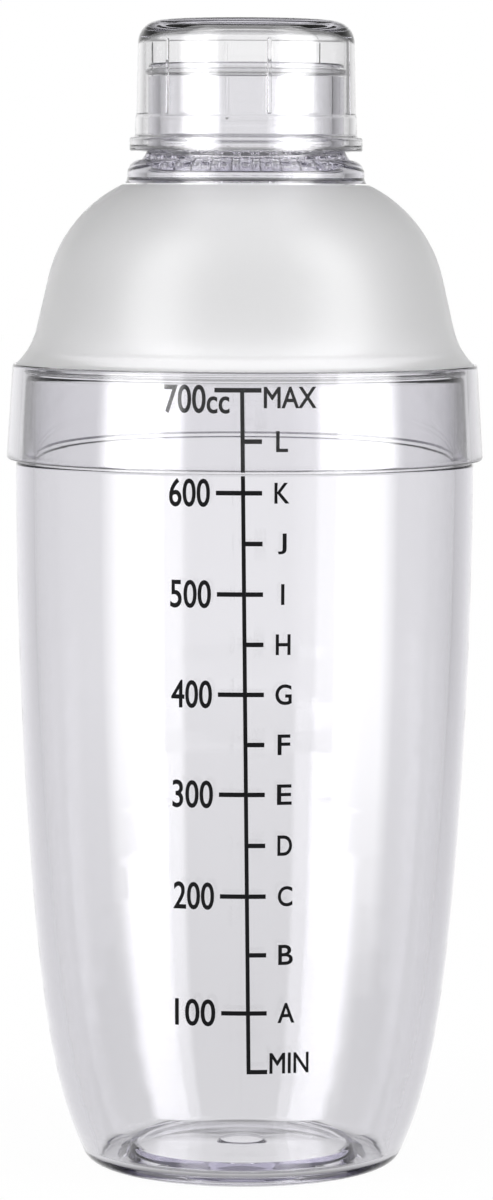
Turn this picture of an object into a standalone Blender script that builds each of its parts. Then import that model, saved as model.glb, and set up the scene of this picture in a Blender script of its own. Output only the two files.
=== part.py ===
"""A 700 cc cocktail shaker of clear plastic, closed and standing on its foot ring.

A thick-walled tapered cup carries a frosted dome lid with a clear skirt. A perforated strainer neck is
pushed into the dome, and a clear cap is pushed over the neck. Two soft rings seal the joins.

Metres, +Z up. The origin is the middle of the foot ring, and the axis of every piece is the Z axis.
Outlines are half sections, (radius, height) in millimetres, in order down the outside and up the inside.
"""

import math

import bpy

MM = 0.001
TURN_STEPS = 40  # sides of every turned piece

# Heights of the main faces above the table, in millimetres
CAP_TOP = 226.4
CAP_MOUTH = 200.8
NECK_RIM = 217.8
DOME_TOP = 194.2
LID_LEDGE = 158.2  # the face over the cup's rim
SKIRT_FOOT = 140.2
CUP_RIM = 156.8
CUP_SHOULDER = 139.7  # the step that the skirt stops above
CUP_FLOOR = 4.4  # the raised middle of the floor
CUP_GUTTER = 2.6  # the lower ring of floor round it

# Radii and walls, in millimetres
CUP_WALL = 3.6
CUP_RADIUS = 45.25  # just below the shoulder
CUP_TAPER = 8.9  # how much the side has drawn in at the table, as its slow curve
CUP_HEEL = 5.6  # and as its fast curve, near the heel
HEEL_ROUND = 3.6
HEEL_LEAN = math.radians(23)  # how far the side leans out where it meets the heel's round
LIP_BORE = 41.6
LID_WALL = 2.3
TAPER_LEAN = math.radians(13)  # the cone between the dome's shoulder and its flare
NECK_BORE = 17.0
NECK_RADIUS = 19.3
SPIGOT_RADIUS = 21.7
CAP_BORE = 20.1
FIT = 0.3  # the gap between pieces that touch

# Strainer holes, round one in the middle: (holes in the ring, radius of the ring)
HOLE_RINGS = ((6, 3.3), (12, 6.6), (18, 9.9), (24, 13.2))
HOLE_RADIUS = 1.0
HOLE_SIDES = 8
PLATE_TOP = 198.4
PLATE_THICKNESS = 1.8

# Upright ribs inside the cap, which keep it centred on the neck
RIB_COUNT = 6
RIB_TURN = math.radians(12.5)  # from the front of the shaker to the first rib, anticlockwise
RIB_WIDTH = 1.2
RIB_CREST = 19.85
RIB_ROOT = 20.7
RIB_FOOT = 207.6
RIB_HEAD = 222.6


def arc(centre, radius, start, end, steps):
    """Points on a round stretch, from one angle to the other in degrees, counted from straight outwards."""
    angles = [math.radians(start + (end - start) * i / steps) for i in range(steps + 1)]
    return [(centre[0] + radius * math.cos(a), centre[1] + radius * math.sin(a)) for a in angles]


def material(name, colour, roughness):
    """A plain plastic or rubber."""
    made = bpy.data.materials.new(name)
    made.use_nodes = True
    shader = made.node_tree.nodes["Principled BSDF"]
    shader.inputs["Base Color"].default_value = (*colour, 1.0)
    shader.inputs["Roughness"].default_value = roughness
    shader.inputs["Metallic"].default_value = 0.0
    return made


def turned(name, outline, finish):
    """One closed solid: the half section turned about the Z axis."""
    mesh = bpy.data.meshes.new(name)
    points = [(r * MM, 0.0, z * MM) for r, z in outline]
    last = len(points) - 1
    edges = [(i, i + 1) for i in range(last)]
    if outline[0][0] > 0.0:
        edges.append((last, 0))
    mesh.from_pydata(points, edges, [])
    mesh.materials.append(finish)
    piece = bpy.data.objects.new(name, mesh)
    bpy.context.scene.collection.objects.link(piece)
    screw = piece.modifiers.new("Turn", "SCREW")
    screw.steps = TURN_STEPS
    screw.render_steps = TURN_STEPS
    screw.use_merge_vertices = True
    screw.merge_threshold = 0.00001
    screw.use_smooth_shade = True
    return piece


def side_radius(z):
    """Outer radius of the cup's side: nearly straight at the top, drawn in ever faster towards the heel."""
    fall = (CUP_SHOULDER - z) / CUP_SHOULDER
    return CUP_RADIUS - CUP_TAPER * fall**2 - CUP_HEEL * fall**10


def side(bottom, top, steps, inset=0.0):
    """Points up the cup's side, closer together near the heel where it curves most."""
    heights = [bottom + (top - bottom) * (i / steps) ** 1.6 for i in range(steps + 1)]
    return [(side_radius(z) - inset, z) for z in heights]


def cup():
    """The cup: lip, shoulder, side, heel, foot ring, punt, and the inside from its raised floor up."""
    lip_round = 0.9
    lip_foot_radius = 44.2
    rim = arc((LIP_BORE + lip_round, CUP_RIM - lip_round), lip_round, 180, 0, 6)
    shoulder = [(lip_foot_radius, CUP_SHOULDER)]
    shoulder += arc((CUP_RADIUS - 0.6, CUP_SHOULDER - 0.6), 0.6, 90, 0, 3)

    heel_start = HEEL_ROUND * (1 - math.sin(HEEL_LEAN))
    heel_middle = side_radius(heel_start) - HEEL_ROUND * math.cos(HEEL_LEAN)
    outside = side(heel_start, CUP_SHOULDER - 2.0, 16)[::-1]
    heel = arc((heel_middle, HEEL_ROUND), HEEL_ROUND, -math.degrees(HEEL_LEAN), -90, 5)[1:]

    base_wall = 2.0
    gate_radius = 5.0
    gate_rise = 0.4
    punt_top = CUP_FLOOR - base_wall
    punt = [(24.8, 0.0), (22.8, 0.5), (21.0, punt_top), (gate_radius, punt_top + 0.2)]
    punt += [(gate_radius - 0.4, punt_top + 0.2 + gate_rise), (0.0, punt_top + 0.2 + gate_rise)]

    corner = 2.2
    wall_foot = side_radius(CUP_GUTTER + corner) - CUP_WALL
    floor = [(0.0, CUP_FLOOR + gate_rise), (gate_radius - 0.6, CUP_FLOOR + gate_rise)]
    floor += [(gate_radius, CUP_FLOOR), (22.1, CUP_FLOOR), (23.1, CUP_GUTTER)]
    floor += arc((wall_foot - corner, CUP_GUTTER + corner), corner, -90, -12, 6)
    inside = side(CUP_GUTTER + corner + 3.0, CUP_SHOULDER - 6.0, 13, CUP_WALL)
    return rim + shoulder + outside + heel + punt + floor + inside + [(LIP_BORE, CUP_SHOULDER + 4.0)]


def lid_dome():
    """The lid: land round its opening, dome, cone, flare and skirt, and the inside a wall's thickness in."""
    lean = math.degrees(TAPER_LEAN)
    across, up = math.cos(TAPER_LEAN), math.sin(TAPER_LEAN)
    opening = SPIGOT_RADIUS + FIT
    dome_round = 27.0
    dome_foot = (38.9, 176.0)
    flare_round = 14.0
    flare_head = (41.2, 166.0)
    dome_middle = (dome_foot[0] - dome_round * across, dome_foot[1] - dome_round * up)
    flare_middle = (flare_head[0] + flare_round * across, flare_head[1] + flare_round * up)
    skirt_head_radius = 45.95
    skirt_foot_radius = 47.1
    edge_round = 0.6

    outside = [(opening, DOME_TOP), (24.0, DOME_TOP)]
    outside += arc(dome_middle, dome_round, 64, lean, 9)
    outside += arc(flare_middle, flare_round, 180 + lean, 227, 5)
    outside += arc((skirt_head_radius - edge_round, LID_LEDGE + 0.3), edge_round, 50, 0, 2)
    outside += arc((skirt_foot_radius - edge_round, SKIRT_FOOT + edge_round), edge_round, 0, -90, 3)

    ledge_bore = 41.2
    seat_radius = skirt_head_radius - LID_WALL + 0.1
    inner_flare = flare_round + LID_WALL
    ledge_angle = 360 - math.degrees(math.acos((ledge_bore - flare_middle[0]) / inner_flare))
    inner_dome = dome_round - LID_WALL
    opening_angle = math.degrees(math.acos((opening - dome_middle[0]) / inner_dome))
    inside = [(skirt_foot_radius - LID_WALL, SKIRT_FOOT), (seat_radius, LID_LEDGE), (ledge_bore, LID_LEDGE)]
    inside += arc(flare_middle, inner_flare, ledge_angle, 180 + lean, 4)
    inside += arc(dome_middle, inner_dome, lean, opening_angle, 8)
    return outside + inside


def rim_gasket():
    """A flat soft ring with rounded edges, between the lid's ledge and the cup's rim."""
    middle = (CUP_RIM + LID_LEDGE) / 2
    half = (LID_LEDGE - CUP_RIM) / 2 - FIT
    ring = arc((43.6 - half, middle), half, 90, -90, 6)
    return ring + arc((LIP_BORE + half, middle), half, -90, -270, 6)


def strainer():
    """Neck with its seal groove, ledge ring, spigot and plate. The holes in rings are cut afterwards."""
    rim_round = 0.7
    groove_top = 217.0
    groove_foot = 215.2
    groove_depth = 0.9
    ledge_radius = 23.4
    ledge_round = 2.9
    ledge_round_middle = 196.3
    ledge_foot = DOME_TOP + FIT
    spigot_foot = 190.8
    spigot_bore = 19.6

    outside = arc((NECK_RADIUS - rim_round, NECK_RIM - rim_round), rim_round, 90, 0, 3)
    outside += [(NECK_RADIUS, groove_top), (NECK_RADIUS - groove_depth, groove_top)]
    outside += [(NECK_RADIUS - groove_depth, groove_foot), (NECK_RADIUS, groove_foot)]
    outside += [(NECK_RADIUS, 201.0)]
    outside += arc((ledge_radius - ledge_round, ledge_round_middle), ledge_round, 90, 0, 5)
    outside += [(ledge_radius, 195.4), (ledge_radius + 0.4, ledge_foot), (SPIGOT_RADIUS, ledge_foot)]
    outside += [(SPIGOT_RADIUS, spigot_foot + 0.6), (SPIGOT_RADIUS - 0.6, spigot_foot)]
    plate_foot = PLATE_TOP - PLATE_THICKNESS
    inside = [(spigot_bore, spigot_foot), (spigot_bore, plate_foot)]
    inside += [(HOLE_RADIUS, plate_foot), (HOLE_RADIUS, PLATE_TOP)]
    inside += arc((NECK_BORE - 0.8, PLATE_TOP + 0.8), 0.8, -90, 0, 3)
    inside += arc((NECK_BORE + rim_round, NECK_RIM - rim_round), rim_round, 180, 90, 3)
    return outside + inside


def prisms(name, bases, low, high):
    """Upright prisms between two heights, for a Boolean. A base is its corners, anticlockwise from above."""
    points, faces = [], []
    for base in bases:
        first, sides = len(points), len(base)
        points += [(x * MM, y * MM, z * MM) for z in (low, high) for x, y in base]
        foot = [first + s for s in range(sides)]
        head = [s + sides for s in foot]
        faces += [foot[::-1], head]
        faces += [(foot[s - 1], foot[s], head[s], head[s - 1]) for s in range(sides)]
    mesh = bpy.data.meshes.new(name)
    mesh.from_pydata(points, [], faces)
    helper = bpy.data.objects.new(name, mesh)
    bpy.context.scene.collection.objects.link(helper)
    helper.hide_render = True
    helper.display_type = "WIRE"
    return helper


def strainer_holes():
    """Pins through the plate, one for each hole, on rings that leave the seam at angle zero whole."""
    around = [2 * math.pi * s / HOLE_SIDES for s in range(HOLE_SIDES)]
    bases = []
    for count, ring in HOLE_RINGS:
        for k in range(count):
            turn = 2 * math.pi * (k + 0.5) / count
            x, y = ring * math.cos(turn), ring * math.sin(turn)
            bases.append([(x + HOLE_RADIUS * math.cos(a), y + HOLE_RADIUS * math.sin(a)) for a in around])
    return prisms("strainer_holes", bases, PLATE_TOP - PLATE_THICKNESS - 1.0, PLATE_TOP + 1.0)


def cap_ribs():
    """Bars along the inside of the cap's wall, evenly round it."""
    bases = []
    for k in range(RIB_COUNT):
        turn = RIB_TURN + 2 * math.pi * k / RIB_COUNT
        out_x, out_y = math.sin(turn), -math.cos(turn)
        half = RIB_WIDTH / 2
        corners = [(RIB_CREST, -half), (RIB_ROOT, -half), (RIB_ROOT, half), (RIB_CREST, half)]
        bases.append([(out * out_x - side * out_y, out * out_y + side * out_x) for out, side in corners])
    return prisms("cap_ribs", bases, RIB_FOOT, RIB_HEAD)


def combine(piece, operation, helper):
    """A Boolean of the piece with its helper."""
    boolean = piece.modifiers.new(helper.name, "BOOLEAN")
    boolean.operation = operation
    boolean.object = helper


def neck_seal():
    """A soft ring in the neck's groove, which the cap's wall slides over."""
    middle = (NECK_RADIUS + 0.02, 216.1)
    half_width, half_height = 0.48, 0.6
    turn = [math.radians(90 - 360 * i / 10) for i in range(10)]
    return [(middle[0] + half_width * math.cos(a), middle[1] + half_height * math.sin(a)) for a in turn]


def cap():
    """The cap: top plate, rounded edge, wall, thicker band, flange and inside. Its ribs are added later."""
    side_head = 21.3
    side_foot = 21.6
    edge_round = 4.4
    band_radius = 21.85
    band_top = 207.4
    flange_radius = 22.95
    flange_top = 203.5
    flange_edge = 0.35
    ceiling = 224.3
    inner_round = 2.6

    outside = [(0.0, CAP_TOP)]
    outside += arc((side_head - edge_round, CAP_TOP - edge_round), edge_round, 90, 0, 6)
    outside += [(side_foot, band_top + 0.8), (band_radius, band_top - 0.2)]
    outside += arc((band_radius + 0.6, flange_top + 0.6), 0.6, 180, 270, 2)
    outside += arc((flange_radius - flange_edge, flange_top - flange_edge), flange_edge, 90, 0, 2)
    outside += arc((flange_radius - flange_edge, CAP_MOUTH + flange_edge), flange_edge, 0, -90, 2)
    inside = [(CAP_BORE + 0.7, CAP_MOUTH), (CAP_BORE + 0.3, CAP_MOUTH + 1.2), (CAP_BORE + 0.2, band_top)]
    inside += [(CAP_BORE, band_top + 0.8)]
    inside += arc((CAP_BORE - inner_round, ceiling - inner_round), inner_round, 0, 90, 4)
    return outside + inside + [(0.0, ceiling)]


def main():
    for old in list(bpy.data.objects):
        bpy.data.objects.remove(old)
    clear = (0.93, 0.93, 0.95)
    frosted = (0.90, 0.90, 0.91)
    silicone = (0.88, 0.88, 0.88)
    turned("cup", cup(), material("cup_plastic", clear, 0.05))
    turned("lid_dome", lid_dome(), material("frosted_plastic", frosted, 0.45))
    turned("rim_gasket", rim_gasket(), material("gasket_silicone", silicone, 0.5))
    neck = turned("strainer", strainer(), material("strainer_plastic", clear, 0.05))
    combine(neck, "DIFFERENCE", strainer_holes())
    turned("neck_seal", neck_seal(), material("seal_silicone", silicone, 0.5))
    cover = turned("cap", cap(), material("cap_plastic", clear, 0.05))
    combine(cover, "UNION", cap_ribs())


main()
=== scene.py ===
"""Looks of the cocktail shaker: fine surfaces, clear and frosted plastic, printed scale, studio."""

import math

import bmesh
import bpy
from mathutils import Matrix, Vector

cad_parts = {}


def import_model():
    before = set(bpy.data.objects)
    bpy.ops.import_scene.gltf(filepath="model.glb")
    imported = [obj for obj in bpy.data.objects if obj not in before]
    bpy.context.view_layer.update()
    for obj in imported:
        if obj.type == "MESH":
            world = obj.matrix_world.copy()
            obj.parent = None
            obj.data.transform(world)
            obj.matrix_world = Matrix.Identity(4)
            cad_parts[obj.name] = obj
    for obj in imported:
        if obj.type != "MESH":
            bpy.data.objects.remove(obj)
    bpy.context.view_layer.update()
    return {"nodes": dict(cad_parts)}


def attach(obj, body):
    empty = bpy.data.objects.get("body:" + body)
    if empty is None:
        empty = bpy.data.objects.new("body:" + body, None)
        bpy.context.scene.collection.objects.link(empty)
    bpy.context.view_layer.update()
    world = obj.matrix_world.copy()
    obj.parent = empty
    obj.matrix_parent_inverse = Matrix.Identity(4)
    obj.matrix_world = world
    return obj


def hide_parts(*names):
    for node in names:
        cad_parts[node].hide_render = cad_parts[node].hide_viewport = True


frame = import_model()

MM = 0.001
SAME_PLACE = 1e-7  # points of the frame's meshes closer than this are one
STRAIGHT = 1e-3  # an outline that turns by less than this at a point, in radians, is straight there
TURN_STEPS = 240  # sides of every turned surface
CORNER = math.radians(48)  # an outline that turns by more than this at a point has a real edge there
LONG_CORNER = math.radians(12)  # and by more than this where both sides of the point are long
LONG_SIDE = 2 * MM
FINEST_TURN = math.radians(3)  # round stretches are divided until they turn by less than this at a point
EDGE_SUPPORT = 0.15 * MM  # a long straight stretch gets a point this far from each end, to shade flat
SLIVER = 0.001 * MM  # an edge shorter than this is dissolved
FROST_FOOT = 159.2 * MM  # the frosting ends on the slope just above the skirt
FROST_FACING = 0.1  # a face is frosted if its normal's outward and upward parts add up to more than this

# The printed scale, in millimetres. Places across are counted from its spine, which leans a little.
HUNDREDS = (36.1, 59.0, 78.7, 97.9, 117.0, 136.2, 155.5)  # heights of the marks 100 to 700
MIN_MARK = 24.4
SPINE_TOP = -0.53  # how far across the front the spine is at the top mark
SPINE_FOOT = 1.23  # and at the MIN mark
SPINE_WIDTH = 0.78
TICK_WIDTH = 0.88
TICK_LEFT = -5.15
TICK_RIGHT = 3.6
SHOULDER = 139.7  # height of the cup's shoulder
SHOULDER_GAP = 0.3  # the printing stops this far below it, and starts again this far above
NUMBER_RIGHT = -6.35
NUMBER_WIDTH = 7.8
NUMBER_HEIGHT = 5.2
LETTER_MIDDLE = 7.35
LETTER_HEIGHT = 3.8
LETTER_WIDTH = 2.7
# Letters that aren't as wide as the rest
LETTER_WIDTHS = {"A": 3.1, "F": 2.3, "G": 3.0, "I": 0.5, "J": 1.5, "L": 2.1}
# The words at the two ends, as (left edge from the spine, middle from the mark, height, width)
TOP_NUMBER_PLACE = (-14.65, -1.7, 5.2, 7.8)
TOP_UNIT_PLACE = (-6.5, -2.8, 3.1, 4.1)
MAX_PLACE = (4.1, -1.35, 3.9, 9.8)
MIN_PLACE = (4.1, 1.7, 4.0, 7.6)
NUMBER_BOLD = 0.09  # how far the outline of the numbers is moved outwards, and of the letters
LETTER_BOLD = 0.08
MITRE_LIMIT = 0.5  # a sharp corner's shift is divided by at least this, or it would grow a long point
INK_THICKNESS = 0.03
INK_LIFT = 0.015
WRAP_STEP = 0.6  # the print is cut into strips this wide before it is wrapped round the cup
WRAP_RISE = 2  # and this high

DEEP_COLOUR = (0.76, 0.74, 0.84)  # the tint that clear plastic takes on with depth
CUP_DENSITY = 50.0  # and how quickly, in the cup, lid and neck, and in the cap
CAP_DENSITY = 18.0

# Light, as times plain white
BACK_LIGHT = 1.0
HALF_LIGHT = 0.5
SIDE_LIGHT = 0.15
BOX_LIGHT = 4.6
BOX_HEAD_LIGHT = 3.9
BOX_FOOT_LIGHT = 1.35
FRONT_LIGHT = 0.35
HIGH_BACK_LIGHT = 0.25
TOP_LIGHT = 0.8
STUDIO_TURN = math.radians(3)  # the lights all round, and the floor's, are turned a little to one side
# The floor's lights below are painted light, an emission that only rays through the plastic see
FLOOR_PAINTED_BACK_LIGHT = 0.92
FLOOR_PAINTED_SIDE_LIGHT = 0.55
FLOOR_PAINTED_BOX_LIGHT = 1.6
FLOOR_PAINTED_NEAR_LIGHT = 0.80
# the painted shadow under the foot ring, seen through the plastic
FLOOR_PAINTED_SHADOW_LIGHT = 0.38
FLOOR_GLOW = 0.97
FLOOR_RADIUS = 5.5  # in metres
FLOOR_DROP = 0.05 * MM  # the floor is this far below the foot, so that they don't touch
FLOOR_NEAR = 0.12  # within this distance, in metres, the floor has its near light
FLOOR_FAR = 0.9  # and beyond this its far light
FOOT_PAINTED_SHADOW = ((0.019, 0.022), (0.028, 0.031))  # where the painted shadow under the foot ring starts and ends

CAMERA_PLACE = (0.00014, -0.917, 0.1912)
CAMERA_TILT = math.radians(4.93)
CAMERA_ROLL = math.radians(0.24)
CAMERA_LENS = 139.0

# The strainer and the cap's ribs, in millimetres. The holes are in rings round the one in the middle,
# as (how many in the ring, radius of the ring).
HOLE_RINGS = ((6, 3.3), (12, 6.6), (18, 9.9), (24, 13.2))
HOLE_RADIUS = 1.0
HOLE_SIDES = 24
HOLE_PIN = 4.0  # length of the pins that cut them
PLATE_FOOT = 196.6
PLATE_TOP = 198.4

RIB_COUNT = 6  # upright ribs inside the cap
RIB_TURN = math.radians(12.5)
RIB_RADIUS = 0.6
RIB_MIDDLE = 20.45  # how far the middle of a rib's round is from the axis
RIB_FOOT = 207.6
RIB_HEAD = 222.6


# ---- Outlines, read from the frame ---------------------------------------------------------------


def cut_edges(node):
    """Ends of the edges where the half plane towards +X cuts the node, as ((r, z), (r, z))."""
    mesh = bmesh.new()
    mesh.from_mesh(frame["nodes"][node].data)
    bmesh.ops.remove_doubles(mesh, verts=mesh.verts[:], dist=SAME_PLACE)
    everything = mesh.verts[:] + mesh.edges[:] + mesh.faces[:]
    plane = {"plane_co": (0, 0, 0), "plane_no": (0, 1, 0)}
    cut = bmesh.ops.bisect_plane(mesh, geom=everything, dist=SAME_PLACE, **plane)
    edges = [part for part in cut["geom_cut"] if isinstance(part, bmesh.types.BMEdge)]
    ends = [tuple((round(v.co.x, 6), round(v.co.z, 6)) for v in edge.verts) for edge in edges]
    mesh.free()
    return [(a, b) for a, b in ends if a != b and a[0] >= 0 and b[0] >= 0]


def half_section(node):
    """(outline, closed): the node's half section in order, outside first when it starts on the axis."""
    links = {}
    for a, b in cut_edges(node):
        if a[0] == 0 and b[0] == 0:
            continue
        links.setdefault(a, set()).add(b)
        links.setdefault(b, set()).add(a)
    ends = [p for p, near in links.items() if len(near) == 1]
    here = max(ends, key=lambda p: p[1]) if ends else max(links)
    loop = [here]
    while True:
        onward = [p for p in sorted(links[here]) if p not in loop]
        if not onward:
            break
        here = onward[0]
        loop.append(here)
    points = [Vector(p) for p in loop]
    return bent_points(points, not ends), not ends


def bent_points(points, closed):
    """The points where the outline bends, and its two ends if it has them."""
    kept = []
    for i, point in enumerate(points):
        arriving = point - points[i - 1]
        leaving = points[(i + 1) % len(points)] - point
        is_end = not closed and i in (0, len(points) - 1)
        if is_end or arriving.angle(leaving) > STRAIGHT:
            kept.append(point)
    return kept


def is_edge(arriving, leaving):
    """True where two neighbouring sides of an outline meet in a real edge, and not on a round."""
    turn = arriving.angle(leaving)
    return turn > CORNER or turn > LONG_CORNER and min(arriving.length, leaving.length) > LONG_SIDE


def directions(points, closed):
    """For each point, the outline's direction as it arrives and as it leaves. Only real edges differ."""
    found = []
    for i, point in enumerate(points):
        is_end = not closed and i in (0, len(points) - 1)
        arriving = point - points[i - 1]
        leaving = points[(i + 1) % len(points)] - point
        if is_end or is_edge(arriving, leaving):
            found.append((arriving.normalized(), leaving.normalized()))
            continue
        # A straight stretch runs on into its round, so the longer side settles the direction.
        along = arriving * arriving.length + leaving * leaving.length
        found.append((along.normalized(), along.normalized()))
    return found


def smoothed(points, closed):
    """The outline with points added along its round stretches and near the ends of its straight ones."""
    ways = directions(points, closed)
    fine = []
    for i in range(len(points) if closed else len(points) - 1):
        start, end = points[i], points[(i + 1) % len(points)]
        leave, arrive = ways[i][1], ways[(i + 1) % len(points)][0]
        length = (end - start).length
        turn = leave.angle(end - start) + arrive.angle(end - start)
        steps = max(1, math.ceil(turn / FINEST_TURN))
        places = [k / steps for k in range(steps)]
        if steps == 1 and length > 6 * EDGE_SUPPORT:
            places = [0.0, EDGE_SUPPORT / length, 1 - EDGE_SUPPORT / length]
        for t in places:
            keep_start = 2 * t**3 - 3 * t**2 + 1
            pull_start = t**3 - 2 * t**2 + t
            pull_end = t**3 - t**2
            fine.append(
                start * keep_start
                + end * (1 - keep_start)
                + leave * (length * pull_start)
                + arrive * (length * pull_end)
            )
    return fine if closed else fine + [points[-1]]


# ---- Meshes --------------------------------------------------------------------------------------


def linked(name, mesh, body):
    """A new piece with this mesh, smooth but for its real edges, which rides on the body."""
    mesh.shade_smooth()
    mesh.set_sharp_from_angle(angle=CORNER)
    piece = bpy.data.objects.new(name, mesh)
    bpy.context.scene.collection.objects.link(piece)
    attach(piece, body)
    return piece


def turned_mesh(name, points, closed):
    """A closed surface: the outline turned round the Z axis, facing out."""
    area = sum(a.x * b.y - b.x * a.y for a, b in zip(points, points[1:] + points[:1]))
    outline = points if area < 0 else points[::-1]
    mesh = bmesh.new()
    rings = []
    for point in outline:
        if point.x < SAME_PLACE:
            rings.append([mesh.verts.new((0.0, 0.0, point.y))])
            continue
        ring = []
        for k in range(TURN_STEPS):
            turn = 2 * math.pi * k / TURN_STEPS
            ring.append(mesh.verts.new((point.x * math.cos(turn), point.x * math.sin(turn), point.y)))
        rings.append(ring)
    for upper, lower in zip(rings, rings[1:] + (rings[:1] if closed else [])):
        for k in range(TURN_STEPS):
            after = (k + 1) % TURN_STEPS
            if len(upper) == 1:
                corners = (upper[0], lower[k], lower[after])
            elif len(lower) == 1:
                corners = (upper[k], lower[0], upper[after])
            else:
                corners = (upper[k], lower[k], lower[after], upper[after])
            mesh.faces.new(corners)
    made = bpy.data.meshes.new(name)
    mesh.to_mesh(made)
    mesh.free()
    return made


def turned_piece(name, node, body, finish):
    """A fine turned copy of a CAD node, which it replaces."""
    points, closed = half_section(node)
    piece = linked(name, turned_mesh(name, smoothed(points, closed), closed), body)
    piece.data.materials.append(finish)
    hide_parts(node)
    return piece


def lid(clear, frosted):
    """The lid: frosted outside above the skirt, clear inside and on the skirt."""
    piece = turned_piece("lid_shell", "lid_dome", "lid", clear)
    piece.data.materials.append(frosted)
    for face in piece.data.polygons:
        outward = Vector((face.center.x, face.center.y, 0)).normalized() + Vector((0, 0, 1))
        if face.center.z > FROST_FOOT and face.normal.dot(outward) > FROST_FACING:
            face.material_index = 1
    return piece


def evaluated_mesh(holder):
    """A copy of the object's mesh with its modifiers applied, or of the mesh that its text makes."""
    return bpy.data.meshes.new_from_object(holder.evaluated_get(bpy.context.evaluated_depsgraph_get()))


def without_slivers(mesh):
    """Takes the faces of no width, which a Boolean leaves along its cuts, out of the mesh."""
    cleaned = bmesh.new()
    cleaned.from_mesh(mesh)
    bmesh.ops.dissolve_degenerate(cleaned, dist=SLIVER, edges=cleaned.edges[:])
    cleaned.to_mesh(mesh)
    cleaned.free()


def combined(piece, operation, helper):
    """The piece after a Boolean with the helper mesh, which is used up."""
    other = bpy.data.objects.new(helper.name, helper)
    bpy.context.scene.collection.objects.link(other)
    boolean = piece.modifiers.new("Combine", "BOOLEAN")
    boolean.operation = operation
    boolean.object = other
    made = evaluated_mesh(piece)
    piece.modifiers.remove(boolean)
    bpy.data.objects.remove(other)
    piece.data = made
    without_slivers(made)
    made.shade_smooth()
    made.set_sharp_from_angle(angle=CORNER)
    return piece


def hole_pins():
    """One upright pin for each hole in the strainer's plate, but for the one in the middle."""
    pins = bmesh.new()
    middle = (PLATE_FOOT + PLATE_TOP) / 2
    sizes = {"radius1": HOLE_RADIUS * MM, "radius2": HOLE_RADIUS * MM, "depth": HOLE_PIN * MM}
    for count, ring in HOLE_RINGS:
        for k in range(count):
            turn = 2 * math.pi * (k + 0.5) / count
            centre = Vector((ring * math.cos(turn), ring * math.sin(turn), middle)) * MM
            place = Matrix.Translation(centre)
            bmesh.ops.create_cone(pins, cap_ends=True, segments=HOLE_SIDES, matrix=place, **sizes)
    mesh = bpy.data.meshes.new("hole_pins")
    pins.to_mesh(mesh)
    pins.free()
    return mesh


def strainer(clear):
    """The neck and plate with its holes cut through."""
    return combined(turned_piece("strainer_neck", "strainer", "lid", clear), "DIFFERENCE", hole_pins())


def rib_bars():
    """Round-ended bars, evenly round the inside of the cap's wall."""
    bars = bmesh.new()
    low, high = RIB_FOOT + RIB_RADIUS, RIB_HEAD - RIB_RADIUS
    for k in range(RIB_COUNT):
        turn = RIB_TURN + 2 * math.pi * k / RIB_COUNT
        place = Vector((RIB_MIDDLE * math.sin(turn), -RIB_MIDDLE * math.cos(turn), low)) * MM
        ball = bmesh.ops.create_uvsphere(bars, u_segments=24, v_segments=15, radius=RIB_RADIUS * MM)
        for v in ball["verts"]:
            stretch = (high - low) * MM if v.co.z > 0 else 0.0
            v.co += place + Vector((0, 0, stretch))
    mesh = bpy.data.meshes.new("rib_bars")
    bars.to_mesh(mesh)
    bars.free()
    return mesh


def cap(clear):
    """The cap with the ribs inside its wall."""
    return combined(turned_piece("cap_shell", "cap", "cap", clear), "UNION", rib_bars())


# ---- Printed scale -------------------------------------------------------------------------------


def spine_at(height):
    """How far across the front the spine is at this height."""
    down = (HUNDREDS[-1] - height) / (HUNDREDS[-1] - MIN_MARK)
    return SPINE_TOP + (SPINE_FOOT - SPINE_TOP) * down


def add_bar(sheet, start, end, half):
    """A flat bar from start to end, as (across, height), which is this far wide on each side."""
    along = (Vector(end) - Vector(start)).normalized()
    side = Vector((-along.y, along.x)) * half
    corners = [Vector(start) - side, Vector(end) - side, Vector(end) + side, Vector(start) + side]
    sheet.faces.new([sheet.verts.new((p.x, p.y, 0)) for p in corners])


def thicken(corners, bold):
    """Moves the outline of flat lettering outwards by this much."""
    shifts = {}
    for corner in corners:
        rims = [edge for edge in corner.link_edges if edge.is_boundary]
        outward = []
        for edge in rims:
            along = (edge.verts[1].co - edge.verts[0].co).normalized()
            across = Vector((along.y, -along.x, 0.0))
            inside = edge.link_faces[0].calc_center_median() - edge.verts[0].co
            outward.append(across if across.dot(inside) < 0 else -across)
        if len(outward) == 2:
            spread = max(1 + outward[0].dot(outward[1]), MITRE_LIMIT)
            shifts[corner] = (outward[0] + outward[1]) / spread
    for corner, shift in shifts.items():
        corner.co += shift * bold


def add_words(sheet, words, left, middle, height, width, bold):
    """Flat lettering of that height and width, with its left edge and its middle here."""
    text = bpy.data.curves.new(words, "FONT")
    text.body = words
    text.resolution_u = 5
    holder = bpy.data.objects.new(words, text)
    bpy.context.scene.collection.objects.link(holder)
    glyphs = evaluated_mesh(holder)
    bpy.data.objects.remove(holder)
    low = Vector([min(v.co[i] for v in glyphs.vertices) for i in range(2)])
    high = Vector([max(v.co[i] for v in glyphs.vertices) for i in range(2)])
    tall = height / (high.y - low.y)
    wide = width / (high.x - low.x)
    for v in glyphs.vertices:
        v.co.x = left + (v.co.x - low.x) * wide
        v.co.y = middle + (v.co.y - (low.y + high.y) / 2) * tall
    earlier = len(sheet.verts)
    sheet.from_mesh(glyphs)
    bpy.data.meshes.remove(glyphs)
    sheet.verts.ensure_lookup_table()
    thicken(sheet.verts[earlier:], bold)


def outer_radius(outline, height):
    """The largest radius of the outline at this height."""
    found = 0.0
    for a, b in zip(outline, outline[1:]):
        if a.y != b.y and min(a.y, b.y) <= height <= max(a.y, b.y):
            found = max(found, a.x + (b.x - a.x) * (height - a.y) / (b.y - a.y))
    return found


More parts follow.
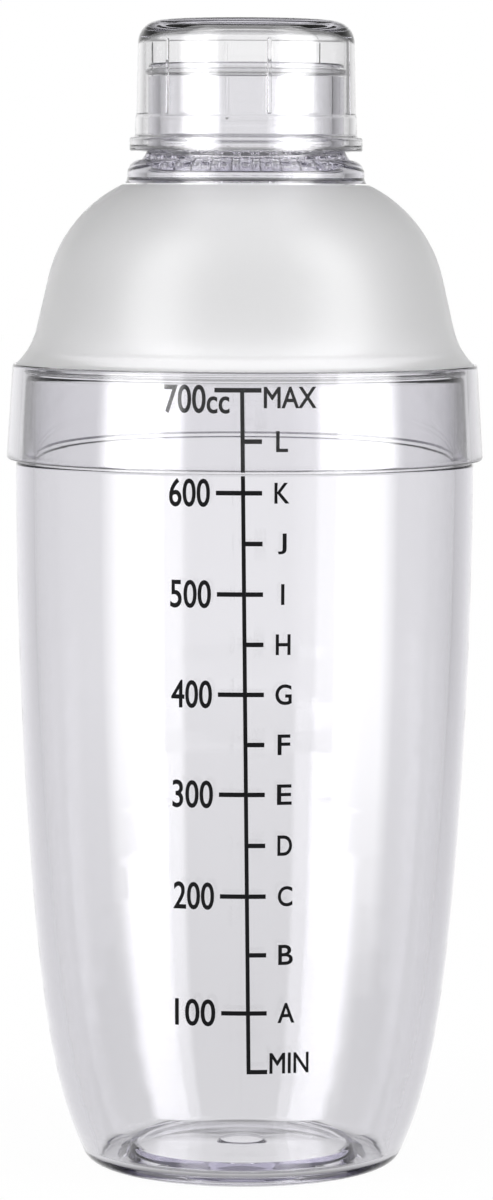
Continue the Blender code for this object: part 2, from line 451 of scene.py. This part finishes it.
def cut_across(sheet, place, normal):
    """Cuts the flat sheet in two along a line, and keeps both sides."""
    everything = sheet.verts[:] + sheet.edges[:] + sheet.faces[:]
    bmesh.ops.bisect_plane(sheet, geom=everything, plane_co=place, plane_no=normal)


def printed(name, sheet, outline, ink):
    """Flat printing, in millimetres, wrapped round the front of the cup as thin closed ink."""
    edge = max(abs(v.co.x) for v in sheet.verts)
    for k in range(-int(edge / WRAP_STEP), int(edge / WRAP_STEP) + 1):
        cut_across(sheet, (k * WRAP_STEP, 0, 0), (1, 0, 0))
    for z in range(int(MIN_MARK), int(HUNDREDS[-1]), WRAP_RISE):
        cut_across(sheet, (0, z, 0), (0, 1, 0))
    sheet.verts.index_update()
    points = []
    for lift in (INK_LIFT + INK_THICKNESS, INK_LIFT):
        for v in sheet.verts:
            radius = outer_radius(outline, v.co.y * MM) + lift * MM
            around = v.co.x * MM / radius
            points.append((radius * math.sin(around), -radius * math.cos(around), v.co.y * MM))
    behind = len(sheet.verts)
    faces = []
    for face in sheet.faces:
        front = [v.index for v in face.verts]
        if face.normal.z < 0:
            front.reverse()
        faces += [front, [i + behind for i in reversed(front)]]
        rims = {frozenset(v.index for v in edge.verts) for edge in face.edges if edge.is_boundary}
        for a, b in zip(front, front[1:] + front[:1]):
            if frozenset((a, b)) in rims:
                faces.append([b, a, a + behind, b + behind])
    sheet.free()
    mesh = bpy.data.meshes.new(name)
    mesh.from_pydata(points, [], faces)
    mesh.materials.append(ink)
    return linked(name, mesh, "cup")


def add_end_words(sheet, words, mark, place, bold):
    """Lettering beside the first or the last mark, at a place of its own."""
    left, middle, height, width = place
    add_words(sheet, words, spine_at(mark) + left, mark + middle, height, width, bold)


def scale(outline, ink):
    """The printed scale: spine, ticks, numbers of cubic centimetres, letters, MAX and MIN."""
    half_marks = [(low + high) / 2 for low, high in zip(HUNDREDS, HUNDREDS[1:])]
    spine = bmesh.new()
    half = SPINE_WIDTH / 2
    foot, head = MIN_MARK - TICK_WIDTH / 2, HUNDREDS[-1] + TICK_WIDTH / 2
    stretches = ((foot, SHOULDER - SHOULDER_GAP), (SHOULDER + SHOULDER_GAP, head))
    for low, high in stretches:
        add_bar(spine, (spine_at(low), low), (spine_at(high), high), half)
    printed("scale_spine", spine, outline, ink)

    ticks = bmesh.new()
    for height in (MIN_MARK, *HUNDREDS, *half_marks):
        middle = spine_at(height)
        add_bar(ticks, (middle + half, height), (middle + TICK_RIGHT, height), TICK_WIDTH / 2)
        if height in HUNDREDS:
            add_bar(ticks, (middle + TICK_LEFT, height), (middle - half, height), TICK_WIDTH / 2)
    printed("scale_ticks", ticks, outline, ink)

    numbers = bmesh.new()
    for k, height in enumerate(HUNDREDS[:-1]):
        left = spine_at(height) + NUMBER_RIGHT - NUMBER_WIDTH
        add_words(numbers, f"{k + 1}00", left, height, NUMBER_HEIGHT, NUMBER_WIDTH, NUMBER_BOLD)
    add_end_words(numbers, "700", HUNDREDS[-1], TOP_NUMBER_PLACE, NUMBER_BOLD)
    add_end_words(numbers, "cc", HUNDREDS[-1], TOP_UNIT_PLACE, NUMBER_BOLD)
    printed("scale_numbers", numbers, outline, ink)

    letters = bmesh.new()
    for letter, height in zip("ABCDEFGHIJKL", sorted((*HUNDREDS[:-1], *half_marks))):
        middle = spine_at(height) + LETTER_MIDDLE
        width = LETTER_WIDTHS.get(letter, LETTER_WIDTH)
        add_words(letters, letter, middle - width / 2, height, LETTER_HEIGHT, width, LETTER_BOLD)
    add_end_words(letters, "MAX", HUNDREDS[-1], MAX_PLACE, LETTER_BOLD)
    add_end_words(letters, "MIN", MIN_MARK, MIN_PLACE, LETTER_BOLD)
    printed("scale_letters", letters, outline, ink)


# ---- Materials -----------------------------------------------------------------------------------


def finish(name, low, high, grain, bump, sockets):
    """A Principled material whose colour wanders from low to high in soft patches, with fine relief.

    grain is the size of the relief's bumps in metres, and bump how deep they are.
    """
    made = bpy.data.materials.new(name)
    made.use_nodes = True
    nodes, links = made.node_tree.nodes, made.node_tree.links
    shader = nodes["Principled BSDF"]
    place = nodes.new("ShaderNodeTexCoord")

    patches = nodes.new("ShaderNodeTexNoise")
    patches.inputs["Scale"].default_value = 30.0
    patches.inputs["Detail"].default_value = 3.0
    tones = nodes.new("ShaderNodeValToRGB")
    tones.color_ramp.elements[0].color = (*low, 1.0)
    tones.color_ramp.elements[1].color = (*high, 1.0)
    links.new(place.outputs["Object"], patches.inputs["Vector"])
    links.new(patches.outputs["Fac"], tones.inputs["Fac"])
    links.new(tones.outputs["Color"], shader.inputs["Base Color"])

    relief = nodes.new("ShaderNodeTexNoise")
    relief.inputs["Scale"].default_value = 1.0 / grain
    relief.inputs["Detail"].default_value = 2.0
    raised = nodes.new("ShaderNodeBump")
    raised.inputs["Strength"].default_value = 1.0
    raised.inputs["Distance"].default_value = bump
    links.new(place.outputs["Object"], relief.inputs["Vector"])
    links.new(relief.outputs["Fac"], raised.inputs["Height"])
    links.new(raised.outputs["Normal"], shader.inputs["Normal"])

    for socket, value in sockets.items():
        shader.inputs[socket].default_value = value
    return made


def clear_plastic(name, density):
    """Clear polycarbonate, violet-grey where it is deep, with the slow waviness of a moulding."""
    look = {"Roughness": 0.015, "IOR": 1.585, "Transmission Weight": 1.0}
    made = finish(name, (0.985, 0.984, 0.988), (0.998, 0.997, 1.0), 0.02, 0.000004, look)
    nodes = made.node_tree.nodes
    depth = nodes.new("ShaderNodeVolumeAbsorption")
    depth.inputs["Color"].default_value = (*DEEP_COLOUR, 1.0)
    depth.inputs["Density"].default_value = density
    made.node_tree.links.new(depth.outputs[0], nodes["Material Output"].inputs["Volume"])
    return made


def frosted_plastic():
    """The same plastic with a fine matte grain, as from a sandblasted mould."""
    look = {"Roughness": 0.38, "IOR": 1.585, "Transmission Weight": 0.6}
    return finish("frosted_plastic", (0.975, 0.975, 0.978), (0.995, 0.995, 0.997), 0.0006, 0.00002, look)


def silicone():
    """Milky soft rubber."""
    look = {"Roughness": 0.2, "IOR": 1.41, "Transmission Weight": 0.93}
    return finish("silicone", (0.94, 0.94, 0.945), (0.98, 0.98, 0.985), 0.001, 0.00003, look)


def ink():
    """Black screen ink, a little uneven."""
    look = {"Roughness": 0.45, "Specular IOR Level": 0.06}
    return finish("black_ink", (0.004, 0.004, 0.005), (0.012, 0.012, 0.013), 0.0004, 0.00001, look)


# ---- Studio --------------------------------------------------------------------------------------


def math_node(tree, operation, *values):
    """The output of a new math node, whose inputs are numbers or other outputs."""
    node = tree.nodes.new("ShaderNodeMath")
    node.operation = operation
    for socket, value in zip(node.inputs, values):
        if isinstance(value, (int, float)):
            socket.default_value = value
        else:
            tree.links.new(value, socket)
    return node.outputs[0]


def mixed(tree, factor, first, second):
    """The mix of two colours, which are outputs."""
    node = tree.nodes.new("ShaderNodeMix")
    node.data_type = "RGBA"
    tree.links.new(factor, node.inputs["Factor"])
    tree.links.new(first, node.inputs["A"])
    tree.links.new(second, node.inputs["B"])
    return node.outputs["Result"]


def ramp(tree, fac, stops):
    """The grey that fac picks from a ramp with these (position, value) stops."""
    node = tree.nodes.new("ShaderNodeValToRGB")
    elements = node.color_ramp.elements
    while len(elements) < len(stops):
        elements.new(0.5)
    for element, (position, value) in zip(elements, stops):
        element.position = position
        element.color = (value, value, value, 1.0)
    tree.links.new(fac, node.inputs["Fac"])
    return node.outputs["Color"]


def round_ramp(tree, turn, stops, brightest):
    """The light that a turn from the back picks from (degrees, light) stops, as a part of the brightest."""
    return ramp(tree, turn, [(degrees / 180, light / brightest) for degrees, light in stops])


def turn_from_back(tree, way, offset):
    """How far a direction is turned from straight behind, either way, from 0 to 1 straight in front."""
    angle = math_node(tree, "ARCTAN2", way.outputs["X"], way.outputs["Y"])
    turned = math_node(tree, "ABSOLUTE", math_node(tree, "ADD", angle, offset))
    return math_node(tree, "DIVIDE", turned, math.pi)


def softbox_stops(light):
    """Stops across a softbox, in degrees from the back. Its side nearer the camera is half as bright."""
    bright = [(100, SIDE_LIGHT), (109, light), (135, light)]
    return bright + [(137, light / 2), (145, light / 2), (148, FRONT_LIGHT)]


def world():
    """Soft light all round: bright behind, grey at the sides, a tall softbox each side of the camera."""
    made = bpy.data.worlds.new("studio")
    made.use_nodes = True
    bpy.context.scene.world = made
    nodes, links = made.node_tree.nodes, made.node_tree.links

    way = nodes.new("ShaderNodeSeparateXYZ")
    links.new(nodes.new("ShaderNodeTexCoord").outputs["Generated"], way.inputs[0])
    turn = turn_from_back(made.node_tree, way, STUDIO_TURN)
    # The tiers go from straight down to straight up, with their stops in degrees from the back.
    back_stops = [(15, BACK_LIGHT), (40, HALF_LIGHT), (65, SIDE_LIGHT)]
    foot_stops = [(112, SIDE_LIGHT), (119, BOX_FOOT_LIGHT), (140, BOX_FOOT_LIGHT), (148, FRONT_LIGHT)]
    tiers = (
        [(103, SIDE_LIGHT), (148, FRONT_LIGHT)],
        back_stops + foot_stops,
        back_stops + softbox_stops(BOX_LIGHT),
        [(65, HIGH_BACK_LIGHT)] + softbox_stops(BOX_HEAD_LIGHT),
        [(0, TOP_LIGHT), (180, TOP_LIGHT)],
    )
    # Each takes over from the one below it between two heights, from 0 straight down to 1 straight up.
    takeovers = ((0.165, 0.235), (0.32, 0.40), (0.60, 0.66), (0.91, 0.95))
    height = math_node(made.node_tree, "MULTIPLY_ADD", way.outputs["Z"], 0.5, 0.5)
    shades = [round_ramp(made.node_tree, turn, stops, BOX_LIGHT) for stops in tiers]
    everywhere = shades[0]
    for shade, (start, end) in zip(shades[1:], takeovers):
        taken = ramp(made.node_tree, height, [(start, 0.0), (end, 1.0)])
        everywhere = mixed(made.node_tree, taken, everywhere, shade)

    lit = nodes["Background"]
    lit.inputs["Strength"].default_value = BOX_LIGHT
    links.new(everywhere, lit.inputs["Color"])
    backdrop = nodes.new("ShaderNodeBackground")
    backdrop.inputs["Strength"].default_value = 1.0
    backdrop.inputs["Color"].default_value = (1.0, 1.0, 1.0, 1.0)
    seen = nodes.new("ShaderNodeMixShader")
    links.new(nodes.new("ShaderNodeLightPath").outputs["Is Camera Ray"], seen.inputs["Fac"])
    links.new(lit.outputs[0], seen.inputs[1])
    links.new(backdrop.outputs[0], seen.inputs[2])
    links.new(seen.outputs[0], nodes["World Output"].inputs["Surface"])


def floor():
    """A wide white floor that glows, so that it meets the backdrop without an edge."""
    mesh = bmesh.new()
    bmesh.ops.create_circle(mesh, cap_ends=True, segments=96, radius=FLOOR_RADIUS)
    made = bpy.data.meshes.new("floor")
    mesh.to_mesh(made)
    mesh.free()
    sheet = bpy.data.objects.new("floor", made)
    bpy.context.scene.collection.objects.link(sheet)
    sheet.location.z = -FLOOR_DROP
    sheet.visible_glossy = False
    paper = bpy.data.materials.new("floor_paper")
    paper.use_nodes = True
    nodes, links = paper.node_tree.nodes, paper.node_tree.links
    nodes.remove(nodes["Principled BSDF"])

    # Through the plastic, the floor shows painted light as an emission: bright in front and behind,
    # brightest towards the softboxes, grey at the sides, and a painted shadow under the foot ring.
    place = nodes.new("ShaderNodeTexCoord").outputs["Object"]
    way = nodes.new("ShaderNodeSeparateXYZ")
    links.new(place, way.inputs[0])
    turn = turn_from_back(paper.node_tree, way, STUDIO_TURN)
    sides, ends, boxes = FLOOR_PAINTED_SIDE_LIGHT, FLOOR_PAINTED_BACK_LIGHT, FLOOR_PAINTED_BOX_LIGHT
    far_stops = [(15, ends), (55, sides), (104, sides), (114, boxes), (142, boxes), (152, ends)]
    far = round_ramp(paper.node_tree, turn, far_stops, boxes)
    away = nodes.new("ShaderNodeVectorMath")
    away.operation = "LENGTH"
    links.new(place, away.inputs[0])
    metres = away.outputs["Value"]
    close, under = FLOOR_PAINTED_NEAR_LIGHT / boxes, FLOOR_PAINTED_SHADOW_LIGHT / boxes
    # a painted shadow under the foot ring, darker between these distances
    (light_ends, dark_starts), (dark_ends, light_starts) = FOOT_PAINTED_SHADOW
    near_stops = [(light_ends, close), (dark_starts, under), (dark_ends, under), (light_starts, close)]
    near = ramp(paper.node_tree, metres, near_stops)
    out = ramp(paper.node_tree, metres, [(FLOOR_NEAR, 0.0), (FLOOR_FAR, 1.0)])
    # painted light and painted shadow of the floor, given off as an emission
    painted_floor_light = nodes.new("ShaderNodeEmission")
    painted_floor_light.inputs["Strength"].default_value = boxes
    links.new(mixed(paper.node_tree, out, near, far), painted_floor_light.inputs["Color"])

    # The camera sees it white, with only a trace of shadow.
    shaded = nodes.new("ShaderNodeBsdfDiffuse")
    shaded.inputs["Color"].default_value = (*[1 - FLOOR_GLOW] * 3, 1.0)
    glow = nodes.new("ShaderNodeEmission")
    glow.inputs["Strength"].default_value = FLOOR_GLOW
    white = nodes.new("ShaderNodeAddShader")
    links.new(shaded.outputs[0], white.inputs[0])
    links.new(glow.outputs[0], white.inputs[1])

    seen = nodes.new("ShaderNodeMixShader")
    links.new(nodes.new("ShaderNodeLightPath").outputs["Is Camera Ray"], seen.inputs["Fac"])
    links.new(painted_floor_light.outputs[0], seen.inputs[1])
    links.new(white.outputs[0], seen.inputs[2])
    links.new(seen.outputs[0], nodes["Material Output"].inputs["Surface"])
    made.materials.append(paper)


def camera():
    """The camera in front of the shaker, a little lower than its cap, looking slightly down."""
    made = bpy.data.cameras.new("camera")
    made.sensor_width = 36.0
    made.lens = CAMERA_LENS
    made.clip_end = 20.0
    holder = bpy.data.objects.new("camera", made)
    bpy.context.scene.collection.objects.link(holder)
    holder.location = CAMERA_PLACE
    holder.rotation_euler = (math.pi / 2 - CAMERA_TILT, -CAMERA_ROLL, 0.0)
    bpy.context.scene.camera = holder


def main():
    clear, frosted, rubber = clear_plastic("clear_plastic", CUP_DENSITY), frosted_plastic(), silicone()
    turned_piece("cup_shell", "cup", "cup", clear)
    lid(clear, frosted)
    turned_piece("gasket_ring", "rim_gasket", "lid", rubber)
    strainer(clear)
    turned_piece("seal_ring", "neck_seal", "lid", rubber)
    cap(clear_plastic("cap_plastic", CAP_DENSITY))
    scale(smoothed(*half_section("cup")), ink())
    world()
    floor()
    camera()
    scene = bpy.context.scene
    scene.view_settings.view_transform = "Standard"
    scene.cycles.max_bounces = 24
    scene.cycles.transmission_bounces = 24
    scene.cycles.glossy_bounces = 12


main()
